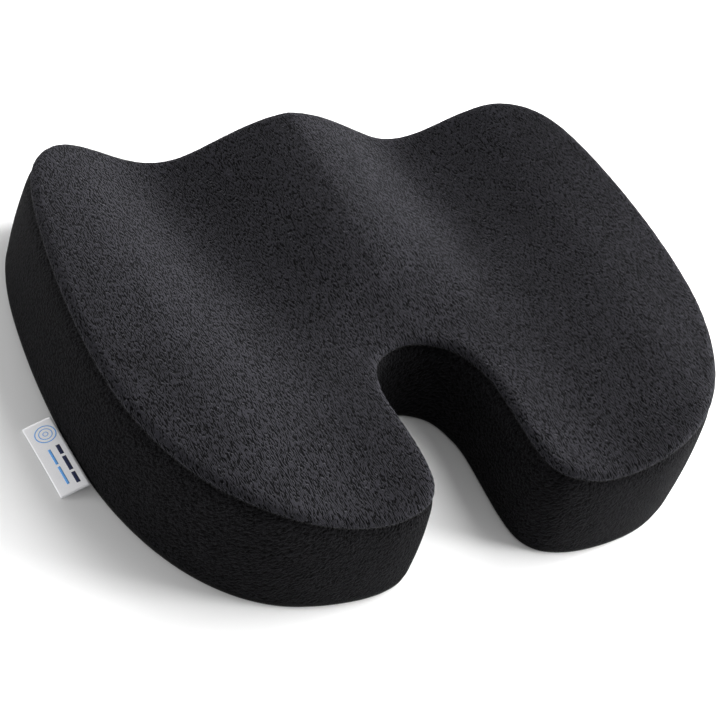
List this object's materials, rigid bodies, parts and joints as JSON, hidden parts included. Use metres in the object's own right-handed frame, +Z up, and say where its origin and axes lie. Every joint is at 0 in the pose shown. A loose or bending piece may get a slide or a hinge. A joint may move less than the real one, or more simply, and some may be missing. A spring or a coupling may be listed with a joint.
{
  "type": "seat cushion",
  "caption": "Contoured foam seat cushion with a rear tailbone cut-out, thigh troughs, a zipped velour cover and a non-slip base.",
  "frame": {"origin": "on the flat underside, on the centre line, 192 mm behind the straight thigh edge and 47 mm in front of the cut-out's apex", "axes": "+Z up, -Y towards the sitter's knees, +Y towards the cut-out and the backrest, +X towards the side with the label (the left of a sitter who faces -Y)"},
  "size_m": [0.4744, 0.3908, 0.094],
  "materials": {
    "velour": "short directional pile velour, charcoal",
    "band_velour": "fine plain velour, black",
    "foam": "moulded memory foam, pale cream, fine open cells",
    "base_fabric": "woven base cloth, black",
    "grip_rubber": "matte dotted non-slip sheet",
    "zip_tape": "ribbed woven tape",
    "zip_coil": "nylon coil",
    "zip_metal": "black painted die-cast metal, satin",
    "label_satin": "white woven satin with a plain printed border and bars",
    "thread": "black polyester sewing thread"
  },
  "bodies": {
    "cushion": {"foam_core": "foam", "top_panel": "velour", "side_band": "band_velour", "front_band_upper": "band_velour", "front_band_lower": "band_velour", "base_panel": "base_fabric", "grip_sheet": "grip_rubber", "top_seam_thread": "thread", "base_seam_thread": "thread", "band_end_thread_left": "thread", "band_end_thread_right": "thread", "zip_tape_upper": "zip_tape", "zip_tape_lower": "zip_tape", "zip_coil_upper": "zip_coil", "zip_coil_lower": "zip_coil", "zip_stitch_upper": "thread", "zip_stitch_lower": "thread", "side_label": "label_satin"},
    "slider": {"zip_slider": "zip_metal"},
    "pull": {"zip_pull": "zip_metal"}
  },
  "joints": [
    {"name": "zip_slide", "type": "slide", "parent": "cushion", "child": "slider", "axis": [1, 0, 0], "range_m": [0, 0.286]},
    {"name": "pull_hinge", "type": "hinge", "parent": "slider", "child": "pull", "pos_m": [-0.143, -0.197, 0.022], "axis": [0, 0, -1], "range_deg": [0, 175]}
  ]
}
